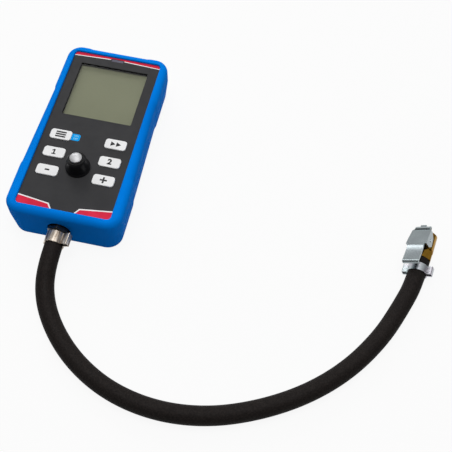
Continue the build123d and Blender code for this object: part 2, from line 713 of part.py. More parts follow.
def chuck_body():
    """The turned brass body: barb, hexagon, round nose, valve bore and the lever's lug."""
    hexagon = RegularPolygon(CHUCK_HEX_FLATS / 2, 6, major_radius=False, rotation=0)
    hexagon &= Circle(CHUCK_R + 0.4)
    body = extrude(Plane.YZ * hexagon, CHUCK_HEX_L)
    nose = rod_x(CHUCK_R, CHUCK_HEX_L, CHUCK_FRONT)
    nose = chamfer(nose.edges().sort_by(Axis.X)[-1], 0.9)
    body += nose
    body += Rot(0, 0, 90) * barb(0, 13, 0, 0)
    lug_floor = CHUCK_R - 1.2
    lug = Pos(PIVOT[0], 0, lug_floor) * Box(2 * LUG_R, 2 * LUG_HALF_W, PIVOT[1] - lug_floor, align=BOTTOM)
    body += lug + pivot_rod(LUG_R, LUG_HALF_W)
    body -= pivot_rod(PIVOT_R, LUG_HALF_W + 2)
    body -= rod_x(AIRWAY_R, -20, CHUCK_FRONT)
    bore_end = CHUCK_FRONT - VALVE_BORE_L
    body -= rod_x(VALVE_BORE_R, bore_end, CHUCK_FRONT + 1)
    body -= rod_x(SEAL_R, bore_end - SEAL_GAP - SEAL_T, bore_end)
    groove = rod_x(CHUCK_R + 1, CHUCK_HEX_L, CHUCK_HEX_L + 1.0) - rod_x(CHUCK_R - 0.6, 0, 20)
    return lying(body - groove)


def chuck_seal():
    """The rubber washer in a groove at the bottom of the valve bore."""
    low = CHUCK_FRONT - VALVE_BORE_L - SEAL_GAP - SEAL_T
    return lying(rod_x(SEAL_R, low, low + SEAL_T) - rod_x(2.0, 0, CHUCK_FRONT))


def core_pin():
    """The pin that presses the tyre valve's core, flush with the seal."""
    low = CHUCK_FRONT - VALVE_BORE_L - SEAL_GAP - SEAL_T
    pin = rod_x(0.9, low - 4, low + SEAL_T)
    return lying(pin + rod_x(AIRWAY_R, low - 4, low - 2.5))


def lever_pin():
    """The pin that the lever turns on, with its ends riveted over."""
    pin = pivot_rod(PIVOT_R, HOOD_HALF_W[0] + 0.1)
    return lying(pin)


def chuck_lever():
    """The pressed steel lever: thumb plate, hood with two cheeks, and the jaw at its front."""
    rear = (-9.7, 13.7)
    bend = (5.0, 12.6)
    front = (HOOD_X[2] + LEVER_T / 2, 8.9)
    foot = (front[0], 2.4)
    line = FilletPolyline((rear[0] - 0.9, rear[1] - 1.5), rear, bend, front, foot, radius=[1.0, 4.0, 1.3])
    strip = extrude(Plane.XZ * trace(line, LEVER_T), 10, both=True)
    wide, middle, narrow = HOOD_HALF_W
    hood_start, cheek_end, jaw_start = HOOD_X
    thumb, tip = THUMB_HALF_W, jaw_start + LEVER_T
    half = [(rear[0] - 2, thumb - 0.6), (rear[0], thumb), (hood_start, thumb), (hood_start, wide)]
    half += [(hood_start + 2, wide), (cheek_end, middle), (jaw_start - 1.4, narrow), (tip + 1, narrow)]
    plan = half + [(x, -y) for x, y in reversed(half)]
    strip &= extrude(make_face(Polyline(*plan, close=True)), 30)
    outer = [(hood_start, wide), (hood_start + 2, wide), (cheek_end, middle)]
    inner = [(x, y - LEVER_T) for x, y in reversed(outer)]
    left = extrude(make_face(Polyline(*outer, *inner, close=True)), 30)
    cheeks = left + mirror(left, Plane.XZ)
    side = FilletPolyline(
        (hood_start, 12.3), (cheek_end, 9.6), (cheek_end, 7.6), (15.6, 4.4), (8.6, 4.4), (hood_start, 8.0),
        radius=[0.1, 1.0, 2.0, 2.0, 1.0, 0.1], close=True,
    )
    cheeks &= extrude(Plane.XZ * make_face(side), 10, both=True)
    lever = strip + cheeks
    jaw_side = [(0, 0), (1.9, 0), (narrow - 0.6, 6.2), (narrow, 7.4), (narrow, 30), (9, 30), (9, -9), (0, -9)]
    waste = extrude(Plane.YZ * make_face(Polyline(*jaw_side, close=True)), 4)
    waste = Pos(jaw_start - 0.3, 0, 0) * waste
    lever -= waste + mirror(waste, Plane.XZ)
    lip = Pos(tip - 0.2, 0, 3.0) * Box(1.6, 4.4, 1.0, align=(Align.MIN, Align.CENTER, Align.MIN))
    lever += lip
    lever -= rod_x(3.3, jaw_start - 1, tip + 3)
    return lying(lever - pivot_rod(PIVOT_R + PIVOT_CLEARANCE, 12))


def lever_spring():
    """The spring that lifts the thumb plate."""
    foot_z = CHUCK_HEX_FLATS / 2
    return lying(Pos(3.2, 0, foot_z) * coil_spring(1.9, 0.3, 5.2, 4))


PARTS = {
    "rubber_boot": rubber_boot,
    "front_shell": front_shell,
    "rear_shell": rear_shell,
    "face_overlay": face_overlay,
    "display_window": display_window,
    "display_glass": display_glass,
    "display_frame": display_frame,
    "indicator_window": indicator_window,
    "indicator_lamp": indicator_lamp,
    "key_switches": key_switches,
    "circuit_board": circuit_board,
    "processor_chip": processor_chip,
    "case_screws": case_screws,
    "board_screws": board_screws,
    "cover_screw": cover_screw,
    "battery": battery,
    "battery_snap": battery_snap,
    "battery_leads": battery_leads,
    "battery_cover": battery_cover,
    "valve_block": valve_block,
    "valve_plug": valve_plug,
    "pressure_sensor": pressure_sensor,
    "bleed_collar": bleed_collar,
    "bleed_button": bleed_button,
    "bleed_stem": bleed_stem,
    "bleed_seal": bleed_seal,
    "bleed_spring": bleed_spring,
    "inlet_fitting": inlet_fitting,
    "inlet_nut": inlet_nut,
    "inlet_clamp": inlet_clamp,
    "air_hose": air_hose,
    "chuck_clamp": chuck_clamp,
    "chuck_body": chuck_body,
    "chuck_seal": chuck_seal,
    "core_pin": core_pin,
    "lever_pin": lever_pin,
    "chuck_lever": chuck_lever,
    "lever_spring": lever_spring,
}

os.makedirs("parts", exist_ok=True)
for part_name, make in PARTS.items():
    export_step(make(), f"parts/{part_name}.step")
for key_name, key_x, key_y in key_places():
    export_step(key_cap(key_x, key_y), f"parts/{key_name}.step")
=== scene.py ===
"""The looks of a hand-held digital tyre pressure gauge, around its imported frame. Metres, Z up."""

import json
from math import cos, pi, radians, sin

import bpy
from mathutils import Euler, Matrix, Vector


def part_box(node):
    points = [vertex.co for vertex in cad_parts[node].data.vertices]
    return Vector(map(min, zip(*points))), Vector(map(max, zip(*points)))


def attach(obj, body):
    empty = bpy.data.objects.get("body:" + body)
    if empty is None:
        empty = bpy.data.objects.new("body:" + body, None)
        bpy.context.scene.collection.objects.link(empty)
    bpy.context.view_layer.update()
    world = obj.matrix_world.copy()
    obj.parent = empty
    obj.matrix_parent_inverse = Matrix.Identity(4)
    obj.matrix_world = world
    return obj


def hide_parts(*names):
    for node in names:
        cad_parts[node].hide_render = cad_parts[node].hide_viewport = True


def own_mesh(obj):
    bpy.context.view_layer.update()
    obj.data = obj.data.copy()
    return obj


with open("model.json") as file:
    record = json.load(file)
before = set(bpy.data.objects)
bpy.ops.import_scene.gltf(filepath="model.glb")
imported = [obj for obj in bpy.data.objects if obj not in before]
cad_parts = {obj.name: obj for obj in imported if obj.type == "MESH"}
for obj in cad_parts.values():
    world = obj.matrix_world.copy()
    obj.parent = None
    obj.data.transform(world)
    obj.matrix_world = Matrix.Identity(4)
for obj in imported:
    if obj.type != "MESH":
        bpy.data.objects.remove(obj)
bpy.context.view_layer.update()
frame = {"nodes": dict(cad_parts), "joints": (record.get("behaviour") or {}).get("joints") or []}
MM = 0.001


# Rubber boot
# A sleeve moulded in one piece from satin blue rubber. It is stretched over the finished case,
# and its rounded rim grips the edge of the face.
BOOT_BLUE = ((0.000, 0.175, 0.66), (0.000, 0.195, 0.72))
TINT_SPAN = (0.35, 0.65)
POLISH_SPAN = (0.3, 0.7)
MOULDED_POLISH = (-0.06, 0.08)
MOULDED_POLISH_FINER = 3


def new_finish(name, roughness, metallic=0.0, gloss=0.5):
    """A material with its shader, ready for the nodes that give its detail."""
    material = bpy.data.materials.new(name)
    material.use_nodes = True
    shader = material.node_tree.nodes["Principled BSDF"]
    shader.inputs["Roughness"].default_value = roughness
    shader.inputs["Metallic"].default_value = metallic
    shader.inputs["Specular IOR Level"].default_value = gloss
    return material, material.node_tree, shader


def cloud(tree, scale, detail=3.0, stretch=(1, 1, 1)):
    """A noise pattern on the piece's own coordinates, with about this many marks to the metre."""
    place = tree.nodes.new("ShaderNodeTexCoord")
    mapping = tree.nodes.new("ShaderNodeMapping")
    mapping.inputs["Scale"].default_value = stretch
    noise = tree.nodes.new("ShaderNodeTexNoise")
    noise.inputs["Scale"].default_value = scale
    noise.inputs["Detail"].default_value = detail
    tree.links.new(place.outputs["Object"], mapping.inputs["Vector"])
    tree.links.new(mapping.outputs["Vector"], noise.inputs["Vector"])
    return noise.outputs["Fac"]


def tint(tree, shader, pattern, colours):
    """The base colour runs between two colours with the pattern."""
    ramp = tree.nodes.new("ShaderNodeValToRGB")
    for stop, place, colour in zip(ramp.color_ramp.elements, TINT_SPAN, colours):
        stop.position = place
        stop.color = (*colour, 1)
    tree.links.new(pattern, ramp.inputs["Fac"])
    tree.links.new(ramp.outputs["Color"], shader.inputs["Base Color"])


def polish(tree, shader, pattern, roughness, spread):
    """The roughness strays to both sides with the pattern, as making and handling leave it."""
    uneven = tree.nodes.new("ShaderNodeMapRange")
    uneven.inputs["From Min"].default_value = POLISH_SPAN[0]
    uneven.inputs["From Max"].default_value = POLISH_SPAN[1]
    uneven.inputs["To Min"].default_value = roughness + spread[0]
    uneven.inputs["To Max"].default_value = roughness + spread[1]
    tree.links.new(pattern, uneven.inputs["Value"])
    tree.links.new(uneven.outputs["Result"], shader.inputs["Roughness"])


def relief(tree, shader, pattern, depth):
    """The pattern stands up from the surface by the depth."""
    bump = tree.nodes.new("ShaderNodeBump")
    bump.inputs["Distance"].default_value = depth
    tree.links.new(pattern, bump.inputs["Height"])
    tree.links.new(bump.outputs["Normal"], shader.inputs["Normal"])


def dress(material, *node_names):
    """The material goes on these pieces of the frame."""
    for node_name in node_names:
        piece = frame["nodes"][node_name]
        piece.data.materials.clear()
        piece.data.materials.append(material)


def moulded(name, colours, roughness, grain=900, depth=0.02 * MM, patch=60, gloss=0.2):
    """A moulded finish: soft patches of tone, uneven polish and a fine grain of some depth."""
    material, tree, shader = new_finish(name, roughness, gloss=gloss)
    tint(tree, shader, cloud(tree, patch), colours)
    polish(tree, shader, cloud(tree, patch * MOULDED_POLISH_FINER), roughness, MOULDED_POLISH)
    relief(tree, shader, cloud(tree, grain, detail=2.0), depth)
    return material


boot_rubber = moulded(
    "boot_rubber", BOOT_BLUE, roughness=0.6, grain=2200, depth=0.015 * MM, patch=25, gloss=0.01
)
dress(boot_rubber, "rubber_boot")


# Case
# Two halves moulded in dark plastic with a spark-eroded grain. They are screwed together from
# behind, and the battery cover, the display frame and the battery clip are of the same plastic.
CASE_BLACK = ((0.010, 0.010, 0.012), (0.018, 0.018, 0.020))

case_plastic = moulded("case_plastic", CASE_BLACK, roughness=0.5, depth=0.04 * MM)
dress(case_plastic, "front_shell", "rear_shell", "battery_cover", "display_frame", "battery_snap")


# Printed face
# A charcoal polyester film with a fine grain, glued to the raised face. The red and white fields
# are printed on it, in the bottom corners and along the display end.
FILM_GREY = ((0.031, 0.031, 0.033), (0.036, 0.036, 0.038))
INK_RED = ((0.60, 0.018, 0.05), (0.70, 0.026, 0.065))
INK_WHITE = ((0.78, 0.76, 0.76), (0.86, 0.85, 0.85))
INK = 0.02 * MM
INK_GRAIN = 2600
FACE_X, FACE_Y, FACE_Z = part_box("face_overlay")[1]
FACE_CORNER = 3 * MM
FACE_CORNER_STEPS = 6
FIELD_FOOT = 9.3 * MM
FIELD_KNEE = (11.8 * MM, 3.6 * MM)
FIELD_OUTER = 6.6 * MM
BAND_END = 3.0 * MM
BAND_MIDDLE = 1.7 * MM
BAND_LINE = 0.7 * MM
NOTCH_X = 5.0 * MM
NOTCH_Y = FACE_Y - 1.1 * MM
LINE_STOP = 5.5 * MM

# The white border of a corner field, and how many borders its foot, knee and outer end move by.
BORDER = 0.95 * MM
FOOT_SHARE = 1.2
KNEE_SHARES = (0.75, 0.9)
OUTER_SHARE = 1.05

film_print = moulded(
    "film_print", FILM_GREY, roughness=0.5, grain=INK_GRAIN, depth=0.012 * MM, patch=80, gloss=0.1
)
dress(film_print, "face_overlay")
red_ink = moulded("red_ink", INK_RED, roughness=0.5, grain=INK_GRAIN, depth=0.01 * MM, patch=80, gloss=0.06)
white_ink = moulded("white_ink", INK_WHITE, roughness=0.4, grain=INK_GRAIN, depth=0.01 * MM, patch=80)


def only(piece):
    """Selects one piece alone."""
    bpy.ops.object.select_all(action="DESELECT")
    piece.select_set(True)
    bpy.context.view_layer.objects.active = piece


def settle(piece, name, material, body):
    """A finished mesh at the origin, with its name, finish and body."""
    only(piece)
    bpy.ops.object.transform_apply(location=True, rotation=True, scale=True)
    piece.name = name
    piece.data.name = name
    piece.data.materials.clear()
    piece.data.materials.append(material)
    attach(piece, body)
    return piece


def flat_shape(name, outlines, thick):
    """A flat mesh with straight-sided outlines, half its thickness on each side of its plane."""
    shape = bpy.data.curves.new(name, "CURVE")
    shape.dimensions = "2D"
    shape.fill_mode = "BOTH"
    shape.extrude = thick / 2
    for outline in outlines:
        spline = shape.splines.new("POLY")
        spline.points.add(len(outline) - 1)
        for point, (x, y) in zip(spline.points, outline):
            point.co = (x, y, 0, 1)
        spline.use_cyclic_u = True
    piece = bpy.data.objects.new(name, shape)
    bpy.context.scene.collection.objects.link(piece)
    only(piece)
    bpy.ops.object.convert(target="MESH")
    return bpy.context.object


def printed(name, outlines, low, thick, material, body="gauge"):
    """A field of ink on the face, or on a key's crown."""
    piece = flat_shape(name, outlines, thick)
    piece.location.z = low + thick / 2
    return settle(piece, name, material, body)


def face_corner(side, end):
    """Points round one rounded corner of the face, from its side to its end."""
    x = FACE_X - FACE_CORNER
    y = FACE_Y - FACE_CORNER
    turns = [pi / 2 * step / FACE_CORNER_STEPS for step in range(FACE_CORNER_STEPS + 1)]
    return [(side * (x + FACE_CORNER * cos(turn)), end * (y + FACE_CORNER * sin(turn))) for turn in turns]


def corner_field(side, border):
    """A field in a bottom corner of the face, whose slanting inner edges stand out by a border."""
    foot = (side * (FIELD_FOOT - border * FOOT_SHARE), -FACE_Y)
    knee_x = side * (FIELD_KNEE[0] - border * KNEE_SHARES[0])
    knee_y = -FACE_Y + FIELD_KNEE[1] + border * KNEE_SHARES[1]
    outer = (side * FACE_X, -FACE_Y + FIELD_OUTER + border * OUTER_SHARE)
    return [foot, (knee_x, knee_y), outer] + face_corner(side, -1)


def band_foot(x):
    """The red band's lower edge, which rises from the face's sides to the indicator."""
    return FACE_Y - BAND_MIDDLE - (BAND_END - BAND_MIDDLE) * (x - LINE_STOP) / (FACE_X - LINE_STOP)


end_foot = band_foot(FACE_X)
stop_foot = band_foot(LINE_STOP)
notch_foot = band_foot(NOTCH_X)
for side, side_name in ((-1, "left"), (1, "right")):
    printed(f"white_border_{side_name}", [corner_field(side, BORDER)], FACE_Z, INK, white_ink)
    printed(f"red_field_{side_name}", [corner_field(side, 0)], FACE_Z, 2 * INK, red_ink)
    line = [(side * LINE_STOP, stop_foot - BAND_LINE), (side * FACE_X, end_foot - BAND_LINE)]
    line += [(side * FACE_X, end_foot), (side * LINE_STOP, stop_foot)]
    printed(f"white_line_{side_name}", [line], FACE_Z, INK, white_ink)
band = [(-FACE_X, end_foot), (-NOTCH_X, notch_foot), (-NOTCH_X, NOTCH_Y)]
band += [(-x, y) for x, y in reversed(band)]
band += face_corner(1, 1) + face_corner(-1, 1)[::-1]
printed("red_band", [band], FACE_Z, 2 * INK, red_ink)


# Switch tag
# A small blue field printed beside the upper left key, with the two states of the switch in pale
# blue. It runs in under the key and is rounded at its free end.
TAG_BLUE = ((0.0, 0.30, 0.74), (0.0, 0.33, 0.79))
TAG_PALE = ((0.36, 0.66, 0.82), (0.40, 0.70, 0.86))
TAG_AT = (-10.1 * MM, -9.2 * MM)
TAG_HALF = (3.7 * MM, 3.0 * MM)
TAG_CORNER = 1.6 * MM
TAG_CORNER_STEPS = 5
TAG_WORDS = (("ON", 1.3 * MM), ("OFF", -1.2 * MM))
TAG_WORD_SHIFT = 0.5 * MM
TAG_WORD_SIZE = 2.1 * MM

tag_blue = moulded("tag_blue", TAG_BLUE, roughness=0.5, grain=INK_GRAIN, depth=0.01 * MM, gloss=0.06)
pale_ink = moulded("pale_ink", TAG_PALE, roughness=0.5, grain=INK_GRAIN, depth=0.01 * MM, gloss=0.06)


def rounded_box(x, y, half_x, half_y, radius):
    """Points round a rounded rectangle."""
    points = []
    for quarter in range(4):
        side_x = 1 if quarter in (0, 3) else -1
        side_y = 1 if quarter in (0, 1) else -1
        for step in range(TAG_CORNER_STEPS + 1):
            turn = pi / 2 * (quarter + step / TAG_CORNER_STEPS)
            points.append((x + side_x * (half_x - radius) + radius * cos(turn),
                           y + side_y * (half_y - radius) + radius * sin(turn)))
    return points


def lettered(name, words, size, weight, place, material, body):
    """Plain characters as thin ink on a surface, with strokes that are wider by the weight."""
    x, y, low = place
    bpy.ops.object.text_add(location=(x, y, low + INK / 2))
    piece = bpy.context.object
    piece.data.body = words
    piece.data.size = size
    piece.data.extrude = INK / 2
    piece.data.offset = size * weight
    piece.data.align_x = "CENTER"
    piece.data.align_y = "CENTER"
    only(piece)
    bpy.ops.object.convert(target="MESH")
    return settle(bpy.context.object, name, material, body)


printed("switch_tag", [rounded_box(*TAG_AT, *TAG_HALF, TAG_CORNER)], FACE_Z, INK, tag_blue)
for words, rise in TAG_WORDS:
    place = (TAG_AT[0] + TAG_WORD_SHIFT, TAG_AT[1] + rise, FACE_Z + INK)
    lettered(f"tag_{words.lower()}", words, TAG_WORD_SIZE, 0.0, place, pale_ink, "gauge")


# Display
# A clear polished lens over a grey green liquid crystal cell. The cell stands on a frame on the
# board, so the edge of the face throws a soft shadow on it.
CELL_GREEN = ((0.205, 0.208, 0.132), (0.220, 0.223, 0.143))
LENS_CLEAR = (0.97, 0.98, 0.98)
LENS_ROUGHNESS = 0.08
LENS_INDEX = 1.49


def combined(tree, operation, first, second):
    """The result of one operation on two terms, each a number or the output of another node."""
    node = tree.nodes.new("ShaderNodeMath")
    node.operation = operation
    for socket, term in zip(node.inputs, (first, second)):
        if isinstance(term, (int, float)):
            socket.default_value = term
        else:
            tree.links.new(term, socket)
    return node.outputs["Value"]


def mixed(tree, share, first, second, output_name):
    """The output shows the first shader, and the second one by its share."""
    mix = tree.nodes.new("ShaderNodeMixShader")
    tree.links.new(share, mix.inputs["Fac"])
    tree.links.new(first, mix.inputs[1])
    tree.links.new(second, mix.inputs[2])
    tree.links.new(mix.outputs["Shader"], tree.nodes[output_name].inputs["Surface"])


def clear_lens(name):
    """A thin clear sheet: it lets the light through, and its outer face adds a polished reflection."""
    material = bpy.data.materials.new(name)
    material.use_nodes = True
    tree = material.node_tree
    tree.nodes.remove(tree.nodes["Principled BSDF"])
    through = tree.nodes.new("ShaderNodeBsdfTransparent")
    through.inputs["Color"].default_value = (*LENS_CLEAR, 1)
    gloss = tree.nodes.new("ShaderNodeBsdfGlossy")
    gloss.inputs["Roughness"].default_value = LENS_ROUGHNESS
    edge = tree.nodes.new("ShaderNodeFresnel")
    edge.inputs["IOR"].default_value = LENS_INDEX
    side = tree.nodes.new("ShaderNodeNewGeometry")
    outer = combined(tree, "SUBTRACT", 1, side.outputs["Backfacing"])
    share = combined(tree, "MULTIPLY", outer, edge.outputs["Fac"])
    mixed(tree, share, through.outputs["BSDF"], gloss.outputs["BSDF"], "Material Output")
    return material


cell_glass = moulded(
    "cell_glass", CELL_GREEN, roughness=0.5, grain=3000, depth=0.004 * MM, patch=40, gloss=0.05
)
dress(cell_glass, "display_glass")
dress(clear_lens("window_lens"), "display_window")


# Indicator
# A small smoked window, moulded in violet grey plastic, which lies in the notch of the red band.
# A lamp of red resin stands on the board behind it.
SMOKED_VIOLET = ((0.080, 0.074, 0.110), (0.110, 0.100, 0.145))
LAMP_RED = ((0.50, 0.10, 0.09), (0.60, 0.14, 0.12))

smoked_plastic = moulded("smoked_plastic", SMOKED_VIOLET, roughness=0.3, depth=0.003 * MM)
lamp_resin = moulded("lamp_resin", LAMP_RED, roughness=0.18, depth=0.003 * MM)
dress(smoked_plastic, "indicator_window")
dress(lamp_resin, "indicator_lamp")


# Keys
# Six moulded keys in pale grey plastic, each on its own body. The marks are plain symbols and
# numbers, printed in black on the crown of each key.
KEY_GREY = ((0.76, 0.765, 0.77), (0.80, 0.805, 0.81))
MARK_BLACK = ((0.012, 0.012, 0.014), (0.020, 0.020, 0.022))
STROKE = 1.3 * MM
BAR_HALF = 3.9 * MM
BAR_STEP = 2.0 * MM
ARROW = ((-1.6 * MM, -2.1 * MM), (2.0 * MM, 0), (-1.6 * MM, 2.1 * MM))
ARROW_SHIFT = 2.1 * MM
ONE_HALF = 1.6 * MM
ONE_TOP = 2.3 * MM
ONE_FOOT = 0.9 * MM
ONE_STEM = (-0.5 * MM, 0.6 * MM)
ONE_FLAG = ((-0.3 * MM, ONE_TOP), (-ONE_HALF, 1.5 * MM), (-ONE_HALF, 0.5 * MM), (ONE_STEM[0], 1.1 * MM))
NUMBER_SIZE = 6.4 * MM
NUMBER_WEIGHT = 0.05
MINUS_HALF = 1.7 * MM
PLUS_HALF = 2.6 * MM

key_plastic = moulded("key_plastic", KEY_GREY, roughness=0.38, grain=1800, depth=0.006 * MM, patch=120)
key_ink = moulded("key_ink", MARK_BLACK, roughness=0.45, grain=INK_GRAIN, depth=0.008 * MM)
dress(key_plastic, "key_menu", "key_mode", "key_memory_left", "key_memory_right", "key_minus", "key_plus")


def bar(y, half):
    """A level stroke of a symbol, at a height on the key."""
    low = y - STROKE / 2
    high = y + STROKE / 2
    return [(-half, low), (half, low), (half, high), (-half, high)]


def crown(node_name):
    """The middle of a key's top."""
    low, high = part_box(node_name)
    return (low.x + high.x) / 2, (low.y + high.y) / 2, high.z


def key_mark(node_name, body, strokes):
    """The strokes of a symbol, about the middle of a key's crown."""
    middle_x, middle_y, top = crown(node_name)
    outlines = [[(middle_x + x, middle_y + y) for x, y in stroke] for stroke in strokes]
    printed(f"{node_name}_mark", outlines, top, INK, key_ink, body)


def key_number(node_name, body, digits):
    """A plain number on a key's crown."""
    name = f"{node_name}_mark"
    lettered(name, digits, NUMBER_SIZE, NUMBER_WEIGHT, crown(node_name), key_ink, body)


key_mark("key_menu", "menu_key", [bar(rise, BAR_HALF) for rise in (-BAR_STEP, 0, BAR_STEP)])
arrows = [[(x + shift, y) for x, y in ARROW] for shift in (-ARROW_SHIFT, ARROW_SHIFT)]
key_mark("key_mode", "mode_key", arrows)
stem_left, stem_right = ONE_STEM
foot_top = ONE_FOOT - ONE_TOP
one = [(-ONE_HALF, -ONE_TOP), (ONE_HALF, -ONE_TOP), (ONE_HALF, foot_top), (stem_right, foot_top)]
one += [(stem_right, ONE_TOP), *ONE_FLAG, (stem_left, foot_top), (-ONE_HALF, foot_top)]
key_mark("key_memory_left", "left_memory_key", [one])
key_number("key_memory_right", "right_memory_key", "2")
key_mark("key_minus", "minus_key", [bar(0, MINUS_HALF)])
arm = [(STROKE / 2, STROKE / 2), (STROKE / 2, PLUS_HALF), (-STROKE / 2, PLUS_HALF)]
plus = []
for quarter in range(4):
    plus += arm
    arm = [(-y, x) for x, y in arm]
key_mark("key_plus", "plus_key", [plus])


# Board and what stands on it
# A green lacquered board, screwed to the front shell's posts. Its six switches and its processor
# are cased in black moulded plastic.
BOARD_GREEN = ((0.004, 0.060, 0.022), (0.008, 0.085, 0.034))
SWITCH_BLACK = ((0.006, 0.006, 0.007), (0.011, 0.011, 0.012))

board_lacquer = moulded("board_lacquer", BOARD_GREEN, roughness=0.3, grain=700, patch=300)
switch_plastic = moulded("switch_plastic", SWITCH_BLACK, roughness=0.35)
dress(board_lacquer, "circuit_board")
dress(switch_plastic, "key_switches", "processor_chip")


# Screws
# Zinc plated steel screws that hold the case, the board and the battery cover. They are tumbled
# after they are cut, so their grain is fine.
SCREW_GREY = ((0.42, 0.42, 0.43), (0.56, 0.56, 0.56))
METAL_POLISH = (-0.03, 0.05)
METAL_POLISH_FINER = 2


def drawn_metal(name, colours, roughness, stretch=(1, 1, 1), grain=1500, depth=0.0015 * MM, patch=140):
    """A metal finish, whose marks are longest along the axes with the smallest stretch."""
    material, tree, shader = new_finish(name, roughness, metallic=1.0)
    tint(tree, shader, cloud(tree, patch, stretch=stretch), colours)
    polish(tree, shader, cloud(tree, patch * METAL_POLISH_FINER, stretch=stretch), roughness, METAL_POLISH)
    relief(tree, shader, cloud(tree, grain, detail=2.0, stretch=stretch), depth)
    return material


screw_zinc = drawn_metal("screw_zinc", SCREW_GREY, roughness=0.3)
dress(screw_zinc, "case_screws", "board_screws", "cover_screw")


# Battery
# A nine volt block in a plain dark wrapper, behind the screwed cover. Two insulated wires run
# from its clip to the board.
BATTERY_BLACK = ((0.008, 0.008, 0.010), (0.014, 0.014, 0.016))
LEAD_RED = ((0.25, 0.006, 0.006), (0.34, 0.010, 0.010))

battery_wrap = moulded("battery_wrap", BATTERY_BLACK, roughness=0.25, grain=400)
lead_insulation = moulded("lead_insulation", LEAD_RED, roughness=0.5)
dress(battery_wrap, "battery")
dress(lead_insulation, "battery_leads")


# Valve block and sensor
# A block machined from light alloy and drilled for air, which joins the inlet to the bleed valve
# and the sensor. The round sensor is turned from steel and screwed into it.
BLOCK_GREY = ((0.42, 0.43, 0.44), (0.54, 0.55, 0.57))
BLOCK_STRETCH = (1, 12, 1)
SENSOR_GREY = ((0.40, 0.40, 0.42), (0.52, 0.52, 0.54))

block_alloy = drawn_metal("block_alloy", BLOCK_GREY, roughness=0.34, stretch=BLOCK_STRETCH)
sensor_steel = drawn_metal("sensor_steel", SENSOR_GREY, roughness=0.3)
dress(block_alloy, "valve_block")
dress(sensor_steel, "pressure_sensor")


# Bleed valve
# A black satin collar stands on the face round a domed button of bright turned metal. The seal
# under the button is of black rubber, as the chuck's seal is.
COLLAR_BLACK = ((0.0035, 0.0035, 0.004), (0.007, 0.007, 0.008))
BUTTON_GREY = ((0.49, 0.49, 0.50), (0.53, 0.53, 0.54))
SEAL_BLACK = ((0.004, 0.004, 0.004), (0.009, 0.009, 0.009))

collar_satin = moulded("collar_satin", COLLAR_BLACK, roughness=0.34, depth=0.01 * MM)
button_metal = drawn_metal("button_metal", BUTTON_GREY, roughness=0.55, patch=90)
seal_rubber = moulded("seal_rubber", SEAL_BLACK, roughness=0.6)
dress(collar_satin, "bleed_collar")
dress(button_metal, "bleed_button")
dress(seal_rubber, "bleed_seal", "chuck_seal")


# Inlet nut and clamp
# A glossy black hexagon nut holds the brass fitting in the case, and a bright crimped one-ear
# clamp holds the hose on the barb. Their edges are eased, as pressing and tumbling leave them.
BRASS = ((0.31, 0.165, 0.019), (0.39, 0.212, 0.028))
NUT_BLACK = ((0.004, 0.004, 0.004), (0.007, 0.007, 0.007))
# The clamp's colour runs in streaks from dark brown to cream. These streaks are painted reflections of dark
# and bright surroundings.
CLAMP_STEEL_PAINTED_STREAKS = ((0.20, 0.15, 0.11), (0.84, 0.76, 0.66))
CLAMP_STRETCH = (4, 0.5, 4)
NUT_EDGE = 0.45 * MM
CLAMP_EDGE = 0.15 * MM
MERGE_GAP = 0.002 * MM
FLAT_WITHIN = radians(0.5)
EDGE_OVER = radians(35)
SMOOTH_UNDER = radians(50)
FLATS_WEIGHT = 90

turned_brass = drawn_metal("turned_brass", BRASS, roughness=0.16, grain=900, patch=260)
nut_black = moulded("nut_black", NUT_BLACK, roughness=0.26, grain=500, depth=0.002 * MM, gloss=1.0)
clamp_steel = drawn_metal("clamp_steel", CLAMP_STEEL_PAINTED_STREAKS, roughness=0.36, stretch=CLAMP_STRETCH, grain=500)


def merged_copy(node_name):
    """A copy of a piece of the frame, its loose triangles joined to whole faces."""
    source = frame["nodes"][node_name]
    piece = bpy.data.objects.new(f"{node_name}_eased", source.data.copy())
    bpy.context.scene.collection.objects.link(piece)
    only(piece)
    bpy.ops.object.mode_set(mode="EDIT")
    bpy.ops.mesh.select_all(action="SELECT")
    bpy.ops.mesh.remove_doubles(threshold=MERGE_GAP)
    bpy.ops.mesh.dissolve_limited(angle_limit=FLAT_WITHIN)
    bpy.ops.object.mode_set(mode="OBJECT")
    return piece


def eased(piece, node_name, width, material, body):
    """The copy stands for the piece of the frame, with its sharp edges eased."""
    only(piece)
    edge = piece.modifiers.new("edge", "BEVEL")
    edge.width = width
    edge.segments = 2
    edge.limit_method = "ANGLE"
    edge.angle_limit = EDGE_OVER
    bpy.ops.object.modifier_apply(modifier="edge")
    bpy.ops.object.shade_smooth_by_angle(angle=SMOOTH_UNDER)
    flats = piece.modifiers.new("flats", "WEIGHTED_NORMAL")
    flats.mode = "FACE_AREA"
    flats.weight = FLATS_WEIGHT
    flats.keep_sharp = True
    bpy.ops.object.modifier_apply(modifier="flats")
    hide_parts(node_name)
    return settle(piece, piece.name, material, body)


dress(turned_brass, "valve_plug", "inlet_fitting", "bleed_stem", "core_pin")
nut = eased(merged_copy("inlet_nut"), "inlet_nut", NUT_EDGE, nut_black, "gauge")
inlet_band = eased(merged_copy("inlet_clamp"), "inlet_clamp", CLAMP_EDGE, clamp_steel, "gauge")


